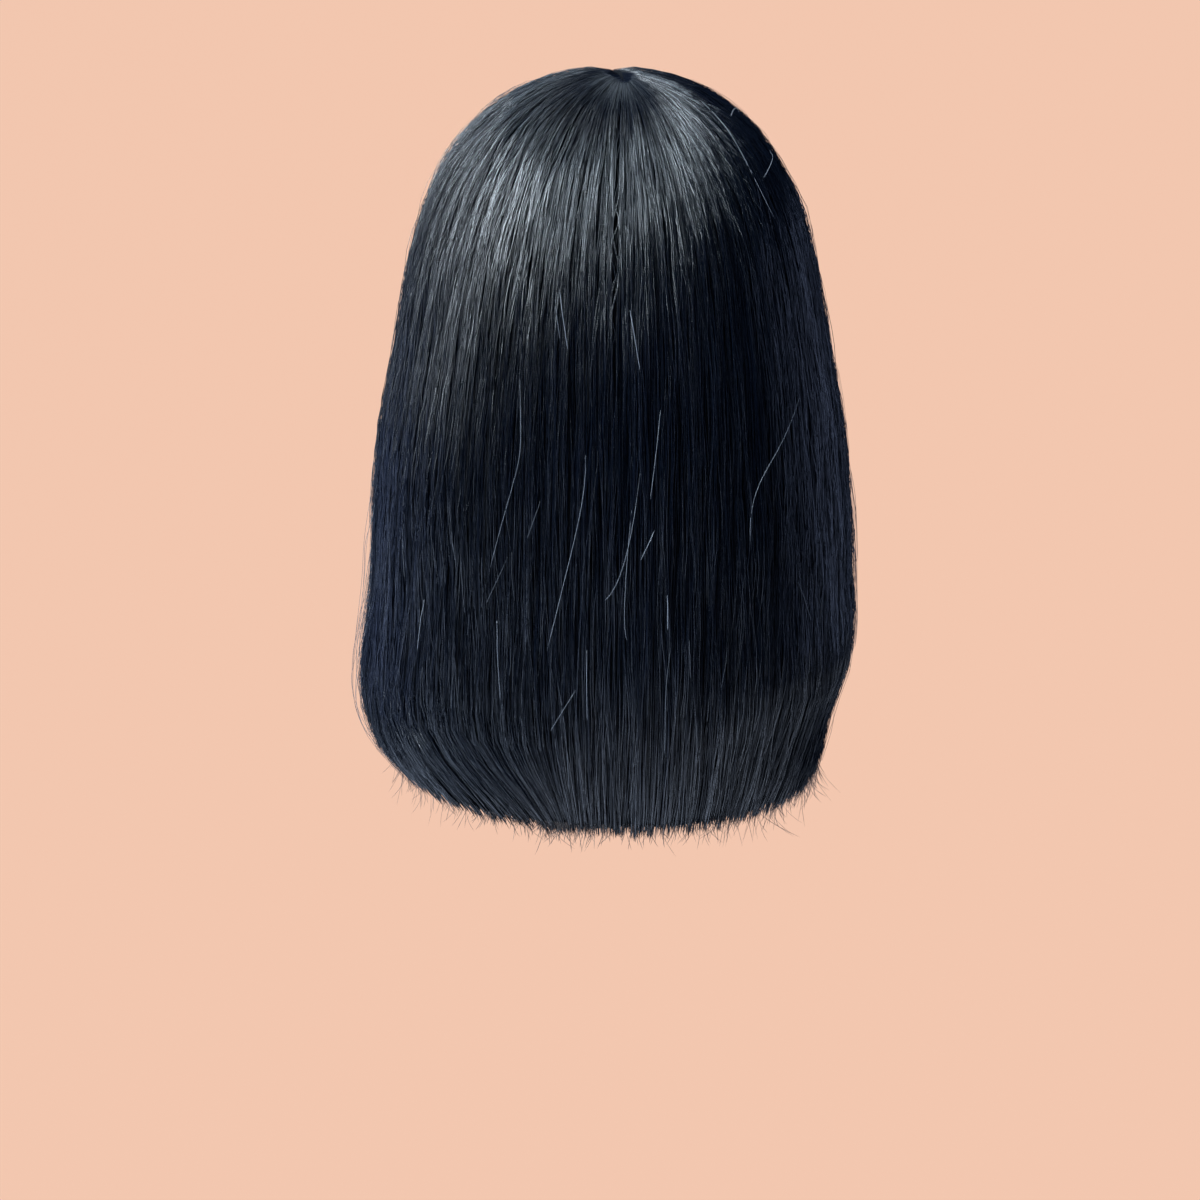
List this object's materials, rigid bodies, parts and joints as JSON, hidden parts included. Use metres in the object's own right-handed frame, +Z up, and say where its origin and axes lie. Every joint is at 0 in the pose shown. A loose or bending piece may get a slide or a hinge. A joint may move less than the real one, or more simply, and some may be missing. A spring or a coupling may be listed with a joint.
{
  "type": "bob wig",
  "caption": "Straight black bob wig with a centre part: an open stretch cap, side, back and under hair falling to a blunt turned-under hem.",
  "frame": {"origin": "top of the inside of the cap, where the crown of the head sits", "axes": "+Z up, -Y the face side, +X the wearer's left"},
  "size_m": [0.2207, 0.2153, 0.3111],
  "materials": {
    "cap_net": "matt stretch net",
    "hair": "straight blue-black strands with a soft gloss",
    "under_hair": "straight black strands, less gloss"
  },
  "bodies": {
    "root": {"wig_cap": "cap_net", "hair_under": "under_hair", "hair_side_left": "hair", "hair_side_right": "hair", "hair_back_left": "hair", "hair_back_right": "hair"}
  },
  "joints": []
}
